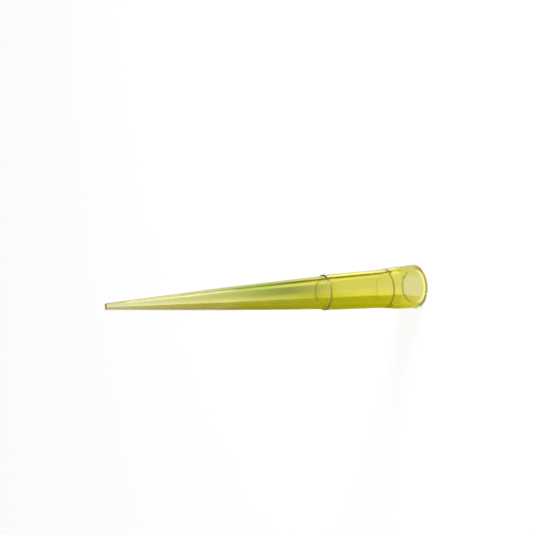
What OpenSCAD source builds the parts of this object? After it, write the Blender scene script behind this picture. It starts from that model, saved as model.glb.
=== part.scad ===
// Yellow pipette tip, 200 microlitre size: one thin-walled moulding, a long hollow cone open
// at both ends. The small end draws up and delivers the liquid, and the wide mouth is pushed
// on to the cone of a pipette. All sizes are in millimetres.
//
// Frame: the tip stands on its mouth, as it would roll if it lay on its side. +Z is its own
// axis, up towards the small end, and the origin is the middle of the mouth, on the floor.

/* [Overall] */
// length of the tip; the nose takes up any change
tip_len = 51; // [45:0.5:62]

/* [Nose] */
// outside diameter of the small end
end_d = 0.9; // [0.74:0.02:1.3]
// bore of the small end
orifice_d = 0.46; // [0.3:0.02:0.6]
// rounding of the small end's outer edge
end_edge = 0.06; // [0.02:0.01:0.1]
// outside diameter at the foot of the nose, where the taper changes
nose_d = 3.28; // [2.6:0.02:4.2]
// wall at the foot of the nose
nose_wall = 0.43; // [0.3:0.01:0.6]

/* [Cone] */
// length from the nose to the ring round the outside
cone_len = 16.5; // [11:0.05:20]
// outside diameter at the ring
cone_d = 5.1; // [4.2:0.02:6.2]
// wall at the ring
cone_wall = 0.6; // [0.4:0.01:0.8]

/* [Ring] */
// width of the ring along the tip
ring_w = 1.2; // [0.5:0.05:2]
// height of the ring above the cone, on the radius
ring_h = 0.205; // [0.1:0.005:0.4]
// rounding of the ring's upper edge, along the tip
ring_edge = 0.35; // [0.05:0.01:0.45]
// step from the cone out to the body, under the ring
step_h = 0.19; // [0.05:0.01:0.4]

/* [Body and collar] */
// length of the body with its ring, down to the collar
body_len = 10.5; // [8:0.05:16]
// length of the collar, from the mouth to where its shoulder leaves the body
collar_len = 6.8; // [6.2:0.1:9]
// wall round the sealing band, taken to where the shoulder leaves the body
foot_wall = 0.42; // [0.35:0.01:0.7]
// length of the shoulder
shoulder_len = 2.7; // [1:0.1:3.6]
// how far the shoulder widens the collar, on the radius
shoulder_out = 0.29; // [0.1:0.01:0.5]
// how far the collar widens from the shoulder to the mouth, on the radius
mouth_out = 0.23; // [0.15:0.01:0.6]

/* [Socket] */
// bore of the band that seals on the cone of the pipette
land_d = 5.26; // [4.2:0.02:6.4]
// length of the socket from the mouth to the top of the sealing band, with the ledge
socket_depth = 5.9; // [4.8:0.1:7.2]
// length of the flared bore above the stop ledge
bore_len = 0.9; // [0.4:0.1:3]
// how far that bore widens down to the ledge, on the radius
bore_out = 0.09; // [0.02:0.01:0.2]
// width of the stop ledge, on the radius
ledge_w = 0.18; // [0.05:0.01:0.4]
// slope of the stop ledge, as its fall from the bore to the sealing band
ledge_fall = 0.07; // [0.02:0.01:0.3]
// length of the sealing band, from the foot of the ledge
land_len = 0.55; // [0.4:0.05:2]
// length of the flare below the sealing band
flare_len = 1.2; // [0.4:0.1:2.4]
// how far that flare widens, on the radius
flare_out = 0.11; // [0.05:0.01:0.2]
// wall of the collar at the mouth
entry_wall = 0.64; // [0.5:0.01:0.8]

/* [Lip] */
// rounding of the lip's inner edge
entry_edge = 0.06; // [0.03:0.01:0.15]
// rounding of the lip's outer edge
lip_edge = 0.06; // [0.03:0.01:0.2]

/* [Hidden] */
// facets of a preview; the solid's own curves are true
$fn = 96;
// straight steps in each round of the section
STEPS = 8;

// heights above the mouth
band_z = socket_depth - ledge_fall;
land_z = band_z - land_len;
flare_z = land_z - flare_len;
bore_z = socket_depth + bore_len;
shoulder_z = collar_len - shoulder_len;
ring_top = collar_len + body_len;
nose_z = ring_top + cone_len;

// radii of the outside; the collar is built outwards from the sealing band
end_r = end_d / 2;
nose_r = nose_d / 2;
cone_r = cone_d / 2;
land_r = land_d / 2;
foot_r = land_r + foot_wall;
shoulder_r = foot_r + shoulder_out;
mouth_r = shoulder_r + mouth_out;

// radii of the inside; the socket's are built from the sealing band, the rest from the walls
orifice_r = orifice_d / 2;
nose_in = nose_r - nose_wall;
cone_in = cone_r - cone_wall;
ledge_in = land_r - ledge_w;
bore_in = ledge_in - bore_out;
flare_in = land_r + flare_out;
entry_in = mouth_r - entry_wall;
lip_in = entry_in + entry_edge;

// round of the section about c, from angle a to angle b, with radii x and z
function round(c, x, z, a, b) =
    [for (i = [0 : STEPS]) let (t = a + (b - a) * i / STEPS) c + [x * cos(t), z * sin(t)]];

// The ring meets the body without a step and drops to the cone over its rounded upper edge.
function ring() = concat(
    [[cone_r + step_h, ring_top - ring_w]],
    round([cone_r, ring_top - ring_edge], ring_h, ring_edge, 0, 90)
);

// outside of the section, as [radius, height], up from the lip to the small end
function outside() = concat(
    round([mouth_r - lip_edge, lip_edge], lip_edge, lip_edge, -90, 0),
    [[shoulder_r, shoulder_z], [foot_r, collar_len]],
    ring(),
    [[nose_r, nose_z]],
    round([end_r - end_edge, tip_len - end_edge], end_edge, end_edge, 0, 90)
);

// inside of the section, down the lumen to the ledge, the sealing band, the flare and the lip
function inside() = concat(
    [[orifice_r, tip_len], [nose_in, nose_z], [cone_in, ring_top]],
    [[bore_in, bore_z], [ledge_in, socket_depth]],
    [[land_r, band_z], [land_r, land_z], [flare_in, flare_z]],
    round([lip_in, entry_edge], entry_edge, entry_edge, 180, 270)
);

module pipette_tip() {
    color([0.88, 0.84, 0.25, 0.6])
        rotate_extrude()
            polygon(concat(outside(), inside()));
}

pipette_tip();
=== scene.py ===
import math

import bmesh
import bpy
from mathutils import Matrix, Vector


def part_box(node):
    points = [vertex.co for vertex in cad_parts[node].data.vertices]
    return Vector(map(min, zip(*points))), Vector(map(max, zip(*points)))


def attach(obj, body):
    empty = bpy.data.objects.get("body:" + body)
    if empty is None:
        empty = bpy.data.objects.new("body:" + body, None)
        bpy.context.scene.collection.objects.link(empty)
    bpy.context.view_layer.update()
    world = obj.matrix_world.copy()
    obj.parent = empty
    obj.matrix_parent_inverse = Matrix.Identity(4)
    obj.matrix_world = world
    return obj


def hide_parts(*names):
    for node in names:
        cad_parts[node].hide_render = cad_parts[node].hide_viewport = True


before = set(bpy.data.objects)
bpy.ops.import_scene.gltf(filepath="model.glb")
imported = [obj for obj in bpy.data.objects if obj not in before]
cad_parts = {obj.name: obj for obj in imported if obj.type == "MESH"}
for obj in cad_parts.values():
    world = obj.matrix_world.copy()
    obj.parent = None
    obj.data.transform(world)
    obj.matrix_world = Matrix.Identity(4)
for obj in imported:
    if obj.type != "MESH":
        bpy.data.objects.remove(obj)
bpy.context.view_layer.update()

MM = 0.001

# The tip stands on its mouth, small end up. Its section in millimetres is the part source's own: radii from
# the Z axis (R outside, IN inside) and heights above the mouth (Z). The length and the mouth come from the
# frame.
top_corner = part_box("pipette_tip")[1]
TIP_LEN = round(top_corner.z / MM, 3)
MOUTH_R = round(top_corner.x / MM, 3)
END_R, ORIFICE_R = 0.45, 0.23
NOSE_R, NOSE_IN, NOSE_Z = 1.64, 1.21, 33.8
CONE_R, CONE_IN, RING_TOP = 2.55, 1.95, 17.3
RING_W, RING_H, RING_EDGE, STEP_H = 1.2, 0.205, 0.35, 0.19
FOOT_R, COLLAR_LEN = 3.05, 6.8
SHOULDER_R, SHOULDER_Z = 3.34, 4.1
ENTRY_IN = 2.93
BORE_IN, BORE_Z = 2.36, 6.8
LEDGE_IN, SOCKET_DEPTH = 2.45, 5.9
LAND_R, BAND_Z, LAND_Z = 2.63, 5.83, 5.28
FLARE_IN, FLARE_Z = 2.74, 4.08
EDGE = 0.06

TURNS = 192  # faces round the lathe
CREASE = 0.06  # how close to each crease the extra rings lie
CREASE_SHARE = 0.3  # and the most of a short face that they take

PURE_WHITE = "#FFFFFF"

# Masterbatch tint in clear polypropylene: what each millimetre of plastic takes from red, green and blue.
TINT_R, TINT_G, TINT_B = 0.06, 0.06, 1.6
PLASTIC_IOR = 1.49

# Roughness of the polished wall, from its glossiest patch to its dullest, and what scuffs add.
GLOSSY, DULL, SCUFF_ROUGH = 0.05, 0.13, 0.12

# Patterns in the surface, in millimetres: size across and along the tip, and depth.
DRAW_ACROSS, DRAW_ALONG, DRAW_DEPTH = 0.25, 12.0, 0.005
RIPPLE, RIPPLE_DEPTH = 1.5, 0.008
HAZE = 3.0
SCUFF_ACROSS, SCUFF_ALONG = 0.15, 1.5

# Witness marks that the tool leaves, slightly frosted and tinted with painted shade so that each reads as a
# dark line, as (height, half height, radius, half width): on the ring's crown, at the socket's ledge, round
# the lip's outer edge and on the cut small end.
RING_MARK = (17.16, 0.12, CONE_R + 0.3, 0.35)
LEDGE_MARK = (5.85, 0.12, LEDGE_IN, 0.22)
LIP_MARK = (0.0, 0.2, MOUTH_R, 0.3)
CUT_MARK = (TIP_LEN, 0.1, END_R, 0.4)
# Painted shade: the tint darkens each mark to a thin olive line, and the roughness frosts it.
PAINTED_LINE_SHADE, WITNESS_ROUGH = "#A2964C", 0.3


def colour(code):
    """sRGB hex to the linear colour a shader takes."""
    parts = [int(code[i : i + 2], 16) / 255 for i in (1, 3, 5)]
    lin = [c / 12.92 if c <= 0.04045 else ((c + 0.055) / 1.055) ** 2.4 for c in parts]
    return (*lin, 1.0)


def add(tree, kind, settings=None, inputs=None, links=None):
    """Adds one node, sets its properties and input values, and links inputs from other sockets."""
    node = tree.nodes.new(kind)
    for key, value in (settings or {}).items():
        setattr(node, key, value)
    for key, value in (inputs or {}).items():
        node.inputs[key].default_value = value
    for key, socket in (links or {}).items():
        tree.links.new(socket, node.inputs[key])
    return node


def new_material(name):
    material = bpy.data.materials.new(name)
    material.use_nodes = True
    material.node_tree.nodes.clear()
    return material, material.node_tree


def joined(tree, operation, first, second):
    """Two sockets joined by one sum, product or comparison."""
    return add(tree, "ShaderNodeMath", {"operation": operation}, links={0: first, 1: second}).outputs[0]


def witness_and_shade_lines(tree, place):
    """One on the witness marks, which also carry painted shade, and nothing elsewhere."""
    height = add(tree, "ShaderNodeSeparateXYZ", links={0: place}).outputs["Z"]
    across = add(tree, "ShaderNodeVectorMath", {"operation": "MULTIPLY"}, {1: (1, 1, 0)}, {0: place})
    flat = {0: across.outputs["Vector"]}
    reach = add(tree, "ShaderNodeVectorMath", {"operation": "LENGTH"}, links=flat).outputs["Value"]

    def near(socket, middle, half):
        limits = {1: middle * MM, 2: half * MM}
        return add(tree, "ShaderNodeMath", {"operation": "COMPARE"}, limits, {0: socket}).outputs[0]

    found = None
    for z, half_z, r, half_r in (RING_MARK, LEDGE_MARK, LIP_MARK, CUT_MARK):
        mark = joined(tree, "MULTIPLY", near(height, z, half_z), near(reach, r, half_r))
        found = joined(tree, "MAXIMUM", found, mark) if found else mark
    return found


def clear_yellow_polypropylene():
    """Clarified polypropylene with a yellow tint, moulded in a polished tool: see-through and glossy like
    soft glass, pale where it is thin and deep yellow where the eye looks along the wall."""
    material, tree = new_material("clear_yellow_polypropylene_moulded")
    place = add(tree, "ShaderNodeTexCoord").outputs["Object"]
    marks = witness_and_shade_lines(tree, place)

    # Draw marks: the polished core and cavity leave shallow lines along the length, a few microns deep.
    # Real ones are finer than 0.05 mm; these are coarser so that they show.
    stretch = (1 / DRAW_ACROSS, 1 / DRAW_ACROSS, 1 / DRAW_ALONG)
    along = add(tree, "ShaderNodeMapping", inputs={"Scale": stretch}, links={"Vector": place})
    lines = add(
        tree,
        "ShaderNodeTexNoise",
        inputs={"Scale": 1 / MM, "Detail": 2.0},
        links={"Vector": along.outputs["Vector"]},
    )
    drawn = add(
        tree,
        "ShaderNodeBump",
        inputs={"Strength": 1.0, "Distance": DRAW_DEPTH * MM},
        links={"Height": lines.outputs["Fac"]},
    )
    # Flow ripple: the melt front leaves shallow swells that only bend a reflection slightly.
    ripple = add(
        tree,
        "ShaderNodeTexNoise",
        inputs={"Scale": 1 / (RIPPLE * MM), "Detail": 1.0},
        links={"Vector": place},
    )
    relief = add(
        tree,
        "ShaderNodeBump",
        inputs={"Strength": 1.0, "Distance": RIPPLE_DEPTH * MM},
        links={"Height": ripple.outputs["Fac"], "Normal": drawn.outputs["Normal"]},
    )

    # Cooling haze: patches that are a little less glossy than the rest.
    haze = add(
        tree,
        "ShaderNodeTexNoise",
        inputs={"Scale": 1 / (HAZE * MM), "Detail": 1.0},
        links={"Vector": place},
    )
    gloss = add(
        tree,
        "ShaderNodeMapRange",
        inputs={"From Min": 0.3, "From Max": 0.7, "To Min": GLOSSY, "To Max": DULL},
        links={"Value": haze.outputs["Fac"]},
    )
    # Handling scuffs: a few short hairlines along the length, drawn wide enough to show, and rougher.
    stretch = (1 / SCUFF_ACROSS, 1 / SCUFF_ACROSS, 1 / SCUFF_ALONG)
    worn = add(tree, "ShaderNodeMapping", inputs={"Scale": stretch}, links={"Vector": place})
    scratch = add(
        tree,
        "ShaderNodeTexNoise",
        inputs={"Scale": 1 / MM, "Detail": 0.0},
        links={"Vector": worn.outputs["Vector"]},
    )
    scuffed = add(
        tree,
        "ShaderNodeMapRange",
        inputs={"From Min": 0.7, "From Max": 0.78, "To Min": 0.0, "To Max": SCUFF_ROUGH},
        links={"Value": scratch.outputs["Fac"]},
    )
    surface = joined(tree, "ADD", gloss.outputs["Result"], scuffed.outputs["Result"])

    # The witness marks are slightly frosted and tinted with painted shade, so each reads as a thin olive
    # line.
    # A Mix node's sockets 2 and 3 are its two numbers, and 6 and 7 its two colours.
    rough = add(tree, "ShaderNodeMix", inputs={3: WITNESS_ROUGH}, links={0: marks, 2: surface})
    clear_or_marked = {6: colour(PURE_WHITE), 7: colour(PAINTED_LINE_SHADE)}
    tone = add(tree, "ShaderNodeMix", {"data_type": "RGBA"}, clear_or_marked, {0: marks})
    body = add(
        tree,
        "ShaderNodeBsdfPrincipled",
        inputs={"IOR": PLASTIC_IOR, "Transmission Weight": 1.0},
        links={
            "Base Color": tone.outputs[2],
            "Roughness": rough.outputs[0],
            "Normal": relief.outputs["Normal"],
        },
    )
    # The node takes its density times one less the colour, so this takes the tint from each channel.
    depth = add(
        tree,
        "ShaderNodeVolumeAbsorption",
        inputs={"Color": (1 - TINT_R / TINT_B, 1 - TINT_G / TINT_B, 0.0, 1), "Density": TINT_B / MM},
    )
    ends = {"Surface": body.outputs["BSDF"], "Volume": depth.outputs["Volume"]}
    add(tree, "ShaderNodeOutputMaterial", links=ends)
    return material


def rounded(c_r, c_z, r, z, start, end, steps=8):
    """An arc of the section about (c_r, c_z), r wide and z high, from one angle to another."""
    turn = [math.radians(start + (end - start) * i / steps) for i in range(steps + 1)]
    return [(c_r + r * math.cos(t), c_z + z * math.sin(t)) for t in turn]


def section():
    """The wall's closed section, up the outside from the lip and down the bore."""
    outside = rounded(MOUTH_R - EDGE, EDGE, EDGE, EDGE, -90, 0)
    outside += [(SHOULDER_R, SHOULDER_Z), (FOOT_R, COLLAR_LEN), (CONE_R + STEP_H, RING_TOP - RING_W)]
    outside += rounded(CONE_R, RING_TOP - RING_EDGE, RING_H, RING_EDGE, 0, 90)
    outside += [(NOSE_R, NOSE_Z)]
    outside += rounded(END_R - EDGE, TIP_LEN - EDGE, EDGE, EDGE, 0, 90)
    inside = [(ORIFICE_R, TIP_LEN), (NOSE_IN, NOSE_Z), (CONE_IN, RING_TOP), (BORE_IN, BORE_Z)]
    inside += [(LEDGE_IN, SOCKET_DEPTH), (LAND_R, BAND_Z), (LAND_R, LAND_Z), (FLARE_IN, FLARE_Z)]
    inside += rounded(ENTRY_IN + EDGE, EDGE, EDGE, EDGE, 180, 270)
    return outside + inside


def lathe(points):
    """The section turned about Z, with extra rings close to each crease so that it shades true."""
    full = []
    for (r0, z0), (r1, z1) in zip(points, points[1:] + points[:1]):
        near = min(CREASE / math.hypot(r1 - r0, z1 - z0), CREASE_SHARE)
        full += [(r0 + (r1 - r0) * t, z0 + (z1 - z0) * t) for t in (0, near, 1 - near)]
    mesh = bmesh.new()
    rings = []
    for k in range(TURNS):
        turn = 2 * math.pi * k / TURNS
        c, s = math.cos(turn), math.sin(turn)
        rings.append([mesh.verts.new((r * c * MM, r * s * MM, z * MM)) for r, z in full])
    for k in range(TURNS):
        a, b = rings[k], rings[(k + 1) % TURNS]
        for i in range(len(full)):
            j = (i + 1) % len(full)
            mesh.faces.new((a[i], b[i], b[j], a[j])).smooth = True
    bmesh.ops.recalc_face_normals(mesh, faces=mesh.faces)
    data = bpy.data.meshes.new("moulding")
    mesh.to_mesh(data)
    mesh.free()
    return data


tip = bpy.data.objects.new("moulding", lathe(section()))
tip.data.materials.append(clear_yellow_polypropylene())
bpy.context.scene.collection.objects.link(tip)
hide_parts("pipette_tip")
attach(tip, "root")

# ---- Studio: a white board, and glowing cards that are no lamps: they paint light, shade and reflections, and only show through the tip or in its gloss ----

FLOOR_Z, CARD_Z = -0.02, -0.01  # just under the lip, so nothing shares a plane
FLOOR_SIDE = 600  # from the tip to each edge of the board
BOARD_WHITE = 0.85  # how far the board shows as plain white, the rest being its paint
CARD_TOP = 54
CARD_Y = (3.7, 6.5)  # the cards behind the tip lean back, from the lip to above the small end
LOW_SIDE = (-1.7, -0.9)  # where the amber card meets the pale card, at the foot and at the top

# Tints of the cards. Another program, which followed rays back through the tip, first gave the values. They
# were then picked, rounded, changed and cut down to these: whites for a lit white bench and painted
# highlights, straws and greens for painted light and shade seen through the tip, ambers and olives for
# painted shadow and shade, and greys for painted reflections in the gloss.
WHITE, COOL_WHITE = "#DCD6D6", "#E0DBF0"
SILVER, LILAC, LILAC_SHADE = "#B4B9B6", "#C4C2D8", "#AAA8BC"
STRAW, SAND, DRAB = "#BAB87C", "#C0BEA6", "#B0AE90"
LEAF, MINT, SAGE, MOSS = "#B8CE94", "#A6BC9A", "#92A268", "#808A4C"
PALE_AMBER, AMBER_TINT, DULL_AMBER, DEEP_AMBER = "#B4AB98", "#BCB424", "#9C9C58", "#9A9410"
LIGHT_OLIVE, OLIVE = "#8E8218", "#6F6808"
LINE_WHITE, LIP_WHITE = "#FFF4FF", "#FFF9EE"
GROUND, WARM_GROUND, AMBER_GROUND = "#DEDADC", "#DAD2A4", "#D4CA7C"
DIM, GREY, LIGHT, BRIGHT = "#747474", "#9C9C9C", "#C0C0C0", "#FAFAFA"

# Each grade is (height, tint): amber painted shadow beside the socket, green painted shade behind the cone,
# pale at the nose.
AMBER = [(0, AMBER_TINT), (20, DULL_AMBER), (28, DEEP_AMBER), (35, DEEP_AMBER), (46, PALE_AMBER)]
PALE = [(12, WHITE), (15.5, DRAB), (20.5, MOSS), (25, SAGE), (29, SILVER), (46, COOL_WHITE)]
LOWER = [(9, WHITE), (15.5, STRAW), (20.5, SAND), (26, SAND), (31, WHITE), (46, COOL_WHITE)]
UPPER = [(14, WHITE), (25, LEAF), (29, MINT), (37, WHITE)]
SHADE = [(0, LIGHT_OLIVE), (11, OLIVE), (20, OLIVE), (25, SAGE), (29, SAGE), (35, LILAC_SHADE), (41, LILAC)]
WALL_SHADE = [(17, OLIVE), (25, SAGE)]
GLOSS = [(17, DIM), (24.5, GREY), (31, BRIGHT)]
SIDE_GLOSS = [(13, BRIGHT), (17, LIGHT), (28, LIGHT), (32, BRIGHT)]
GLOSS_AMBER, LIP_OLIVE, GLOSS_OLIVE = AMBER_TINT, LIGHT_OLIVE, OLIVE


def seen_by(tree, *rays):
    """One where the light path is any of these kinds of ray."""
    path = add(tree, "ShaderNodeLightPath")
    found = path.outputs[rays[0]]
    for ray in rays[1:]:
        found = joined(tree, "MAXIMUM", found, path.outputs[ray])
    return found


def white_matt_board():
    """Matt-painted board: an even white ground that keeps only the tip's soft shadow."""
    material, tree = new_material("white_matt_painted_board")
    matt = {"Base Color": colour("#F6F6F4"), "Roughness": 0.9}
    paint = add(tree, "ShaderNodeBsdfPrincipled", inputs=matt)
    white = add(tree, "ShaderNodeEmission", inputs={"Color": colour(PURE_WHITE), "Strength": 1.0})
    seen = seen_by(tree, "Is Camera Ray", "Is Glossy Ray", "Is Transmission Ray")
    share = add(tree, "ShaderNodeMath", {"operation": "MULTIPLY"}, {1: BOARD_WHITE}, {0: seen})
    ways = {0: share.outputs[0], 1: paint.outputs["BSDF"], 2: white.outputs[0]}
    both = add(tree, "ShaderNodeMixShader", links=ways)
    add(tree, "ShaderNodeOutputMaterial", links={"Surface": both.outputs[0]})
    return material


def graded(tree, height, grades):
    """A colour that runs through the grades, (height, tint), from the foot up."""
    share = add(tree, "ShaderNodeMath", {"operation": "DIVIDE"}, {1: CARD_TOP * MM}, {0: height})
    ramp = add(tree, "ShaderNodeValToRGB", links={0: share.outputs[0]})
    stops = ramp.color_ramp.elements
    while len(stops) < len(grades):
        stops.new(1.0)
    for stop, (z, code) in zip(stops, grades):
        stop.position = z / CARD_TOP
        stop.color = colour(code)
    return ramp.outputs["Color"]


def painted_light_sheet(name, tint, strength=1.0, fade=None, test=None):
    """A glowing sheet that is no lamp, with no gloss: its glow paints the light, shade and reflections that
    the tip shows. It has one tint or a list of grades, may fade out from one X to another, and may show only
    to light that the tip has (GREATER_THAN) or has not (LESS_THAN) already reflected."""
    material, tree = new_material(name)
    place = add(tree, "ShaderNodeTexCoord").outputs["Object"]
    axes = add(tree, "ShaderNodeSeparateXYZ", links={0: place})
    lit = {"Strength": strength}
    if isinstance(tint, str):
        glow = add(tree, "ShaderNodeEmission", inputs={"Color": colour(tint), **lit})
    else:
        tone = {"Color": graded(tree, axes.outputs["Z"], tint)}
        glow = add(tree, "ShaderNodeEmission", inputs=lit, links=tone)
    shown = glow.outputs[0]
    clear = add(tree, "ShaderNodeBsdfTransparent").outputs[0]
    if fade:
        edge = add(
            tree,
            "ShaderNodeMapRange",
            {"interpolation_type": "SMOOTHSTEP"},
            {"From Min": fade[0] * MM, "From Max": fade[1] * MM},
            {"Value": axes.outputs["X"]},
        )
        ways = {0: edge.outputs["Result"], 1: shown, 2: clear}
        shown = add(tree, "ShaderNodeMixShader", links=ways).outputs[0]
    if test:
        turned = {0: add(tree, "ShaderNodeLightPath").outputs["Glossy Depth"]}
        met = add(tree, "ShaderNodeMath", {"operation": test}, {1: 0.5}, turned)
        ways = {0: met.outputs[0], 1: clear, 2: shown}
        shown = add(tree, "ShaderNodeMixShader", links=ways).outputs[0]
    add(tree, "ShaderNodeOutputMaterial", links={"Surface": shown})
    return material


def stage_sheet(name, points, faces, material, rays=None):
    """A flat studio sheet, seen by every ray or only by one kind, transmission or glossy."""
    mesh = bpy.data.meshes.new(name)
    mesh.from_pydata([Vector(p) * MM for p in points], [], faces)
    mesh.materials.append(material)
    sheet = bpy.data.objects.new(name, mesh)
    bpy.context.scene.collection.objects.link(sheet)
    if rays:
        sheet.visible_camera = sheet.visible_diffuse = sheet.visible_shadow = False
        sheet.visible_transmission = rays == "transmission"
        sheet.visible_glossy = rays == "glossy"


def lying(name, x, y, z, material, rays=None):
    """A level sheet over these ranges of X and Y."""
    points = [(x[0], y[0], z), (x[1], y[0], z), (x[1], y[1], z), (x[0], y[1], z)]
    stage_sheet(name, points, [(0, 1, 2, 3)], material, rays)


def standing(name, x, y, z, material):
    """An upright sheet to the tip's side, over these ranges of Y and Z, seen only in the gloss."""
    points = [(x, y[0], z[0]), (x, y[1], z[0]), (x, y[1], z[1]), (x, y[0], z[1])]
    stage_sheet(name, points, [(0, 1, 2, 3)], material, "glossy")


def backing(name, behind, foot, top, material, z=(0.0, CARD_TOP)):
    """A leaning card behind the tip, seen only through it. foot and top are its X ranges at height 0 and at
    CARD_TOP, and behind is its distance behind the first card."""
    points = []
    for height, side in ((z[0], 0), (z[0], 1), (z[1], 1), (z[1], 0)):
        up = height / CARD_TOP
        x = foot[side] + (top[side] - foot[side]) * up
        points.append((x, CARD_Y[0] + (CARD_Y[1] - CARD_Y[0]) * up + behind, height))
    stage_sheet(name, points, [(0, 1, 2, 3)], material, "transmission")


def crescent(name, middle, width, start, end, material, steps=32, fullness=0.6):
    """A thin tapered arc lying inside the lip, seen only through the tip."""
    points = []
    for k in range(steps + 1):
        turn = math.radians(start + (end - start) * k / steps)
        half = width / 2 * math.sin(math.pi * (k + 0.5) / (steps + 1)) ** fullness
        sides = (middle - half, middle + half)
        points += [(r * math.cos(turn), r * math.sin(turn), CARD_Z / 2) for r in sides]
    faces = [(2 * k, 2 * k + 1, 2 * k + 3, 2 * k + 2) for k in range(steps)]
    stage_sheet(name, points, faces, material, "transmission")


board = (-FLOOR_SIDE, FLOOR_SIDE)
lying("floor", board, board, FLOOR_Z, white_matt_board())

# What shows through the wall, all from glowing cards that are no lamps: amber painted shadow on the low
# side, pale cards behind the bore and the high side with painted light and shade, and olive painted shade at
# the high edge.
amber_sheet = painted_light_sheet("painted_shadow_amber", AMBER)
pale_sheet = painted_light_sheet("painted_light_and_shade_pale", PALE)
lower_sheet = painted_light_sheet("painted_light_and_shade_lower", LOWER, 1.2, fade=(-1.3, 0.5))
upper_sheet = painted_light_sheet("painted_light_and_shade_upper", UPPER, 1.2)
white_sheet = painted_light_sheet("painted_highlight_white", LINE_WHITE, 1.15)
shade_sheet = painted_light_sheet("painted_shade_high_side", SHADE)
wall_sheet = painted_light_sheet("painted_shade_wall", WALL_SHADE, fade=(5.8, 4.0), test="LESS_THAN")
# Painted shadow: amber, as a tip's own shadow on a bench would show through its low side.
backing("amber_card", 0.2, (-40, LOW_SIDE[0]), (-40, LOW_SIDE[1]), amber_sheet)
# A lit white bench behind the bore and high side, with painted green shade behind the cone.
backing("pale_card", 0.2, (LOW_SIDE[0], 40), (LOW_SIDE[1], 40), pale_sheet)
# Painted light and shade along the top of the amber: brighter than white at the collar and nose, straw and
# sand beside the ring and cone.
backing("lower_strip", 0.1, (LOW_SIDE[0], 0.7), (LOW_SIDE[1], 0.7), lower_sheet)
# Painted light and shade on the high side of the cone and nose: brighter than white, green behind the cone.
backing("upper_strip", 0.1, (2.2, 5.5), (1.7, 4.4), upper_sheet, z=(14.0, CARD_TOP))
# Painted highlight: a line brighter than white along the collar's high side.
backing("bright_line", 0.1, (3.3, 7.2), (2.3, 4.4), white_sheet, z=(0.0, 14.0))
# Painted shade: olive low down and grey-green higher, beyond the high edge.
backing("shade_card", 0.05, (7.2, 12.0), (6.0, 12.0), shade_sheet)
# Painted shade: an olive card, seen only by light that the tip has not reflected, draws the dark line inside
# the high wall.
backing("wall_shade_card", 0.0, (3.9, 7.3), (3.9, 6.2), wall_sheet, z=(0.0, 25.0))

# What shows through the mouth, from glowing cards that are no lamps: painted light on the ground inside the
# lip, painted shadow on its low side, a painted highlight round the lip, and painted shade at its edge.
pale_ground = painted_light_sheet("painted_light_ground", GROUND)
warm_ground = painted_light_sheet("painted_light_ground_warm", WARM_GROUND)
deep_ground = painted_light_sheet("painted_shadow_ground_amber", AMBER_GROUND)
# Painted light on the ground inside the lip: pale in the middle, warm on the high side.
lying("mouth_ground", (-1.6, 1.75), (-8, 3.9), CARD_Z, pale_ground, "transmission")
lying("high_side_ground", (1.75, 8), (-8, 3.9), CARD_Z, warm_ground, "transmission")
# Painted shadow: amber ground on the low side, carrying the amber on into the mouth.
lying("amber_ground", (-60, -1.6), (-60, 3.9), CARD_Z, deep_ground, "transmission")
# Painted highlight: a bright arc round the inside of the lip.
crescent("lip_glow", 2.5, 0.5, 190, 350, painted_light_sheet("painted_highlight_lip", LIP_WHITE, 1.05))
# Painted shade: a dark olive arc under the lip, which darkens the rim.
crescent("lip_shade", 2.88, 0.26, 185, 355, painted_light_sheet("painted_shade_lip", LIP_OLIVE))

# What the gloss shows, all painted reflections from glowing cards that are no lamps: amber low down, pale
# lines along the length from cards to the side, and a dark olive line beside them.
amber_low = painted_light_sheet("painted_reflection_amber", GLOSS_AMBER)
# Painted reflection: amber on the tip's low side.
lying("amber_gloss", (-90, -5), (-60, 60), CARD_Z, amber_low, "glossy")
# Painted highlight: a reflected stripe along the cone and nose, dim low down and bright at the nose.
standing("nose_reflection_card", 14, (-6.5, 0.7), (12, 46), painted_light_sheet("painted_reflection_nose", GLOSS, 6.0))
# Painted dark reflection: an olive card to the side, seen only in the gloss.
standing("olive_reflection_card", 8, (-1.2, 0.9), (0, 30), painted_light_sheet("painted_dark_reflection", GLOSS_OLIVE))
# Painted highlight: pale reflected lines along the length, from a glowing card to the side.
standing("side_reflection_card", 8, (1.0, 4.5), (0, 46), painted_light_sheet("painted_reflection_side", SIDE_GLOSS, 2.0))

# One soft key lamp, high and to the side, turned to the tip's lower half.
KEY_PLACE, KEY_AIM = Vector((200, -80, 120)) * MM, Vector((0, 0, 20)) * MM
KEY_SIDE, KEY_WATTS = 90 * MM, 0.8

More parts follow.
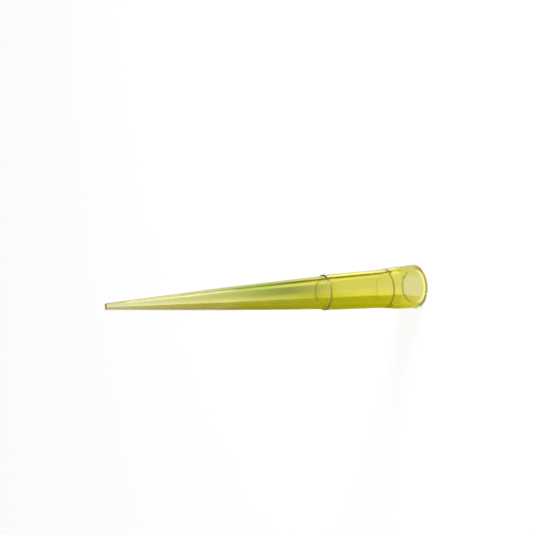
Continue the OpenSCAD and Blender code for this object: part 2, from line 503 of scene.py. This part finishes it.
key = bpy.data.lights.new("key", "AREA")
key.shape = "SQUARE"
key.size = KEY_SIDE
key.energy = KEY_WATTS
holder = bpy.data.objects.new("key", key)
holder.location = KEY_PLACE
holder.rotation_mode = "QUATERNION"
holder.rotation_quaternion = (KEY_AIM - KEY_PLACE).to_track_quat("-Z", "Y")
bpy.context.scene.collection.objects.link(holder)

# The room is white all round: it lights the tip at one level and shows behind it as plain white.
ROOM_LEVEL, ROOM_SHOWN = 0.8, 1.0

world = bpy.data.worlds.new("studio")
world.use_nodes = True
bpy.context.scene.world = world
room = world.node_tree
sky = room.nodes["Background"]
sky.inputs["Color"].default_value = colour(PURE_WHITE)
seen = seen_by(room, "Is Camera Ray", "Is Transmission Ray")
levels = {"To Min": ROOM_LEVEL, "To Max": ROOM_SHOWN}
level = add(room, "ShaderNodeMapRange", inputs=levels, links={"Value": seen})
room.links.new(level.outputs["Result"], sky.inputs["Strength"])

DOWN = 26.0  # how far the camera looks down
ROLL = -92.76  # and how far it is turned about its own axis, so that the tip lies across the frame
AIM = Vector((4.24, 0, 26.4)) * MM
RANGE = 118.8 * MM
SENSOR, FOCAL_LENGTH = 36.0, 53.83  # the lens's own millimetres
CLIP_NEAR, CLIP_FAR = 1 * MM, 10.0

lens = bpy.data.cameras.new("camera")
lens.sensor_width = SENSOR
lens.lens = FOCAL_LENGTH
lens.clip_start = CLIP_NEAR
lens.clip_end = CLIP_FAR
camera = bpy.data.objects.new("camera", lens)
pitch = Matrix.Rotation(math.radians(90 - DOWN), 4, "X")
turn = pitch @ Matrix.Rotation(math.radians(ROLL), 4, "Z")
camera.matrix_world = Matrix.Translation(AIM + turn.to_3x3() @ Vector((0, 0, RANGE))) @ turn
bpy.context.scene.collection.objects.link(camera)
bpy.context.scene.camera = camera

bpy.context.scene.view_settings.view_transform = "Standard"

# Light runs a long way inside the thin wall, so it gets the bounces to come out again.
BOUNCES = 32
paths = bpy.context.scene.cycles
paths.max_bounces = paths.transmission_bounces = paths.glossy_bounces = BOUNCES
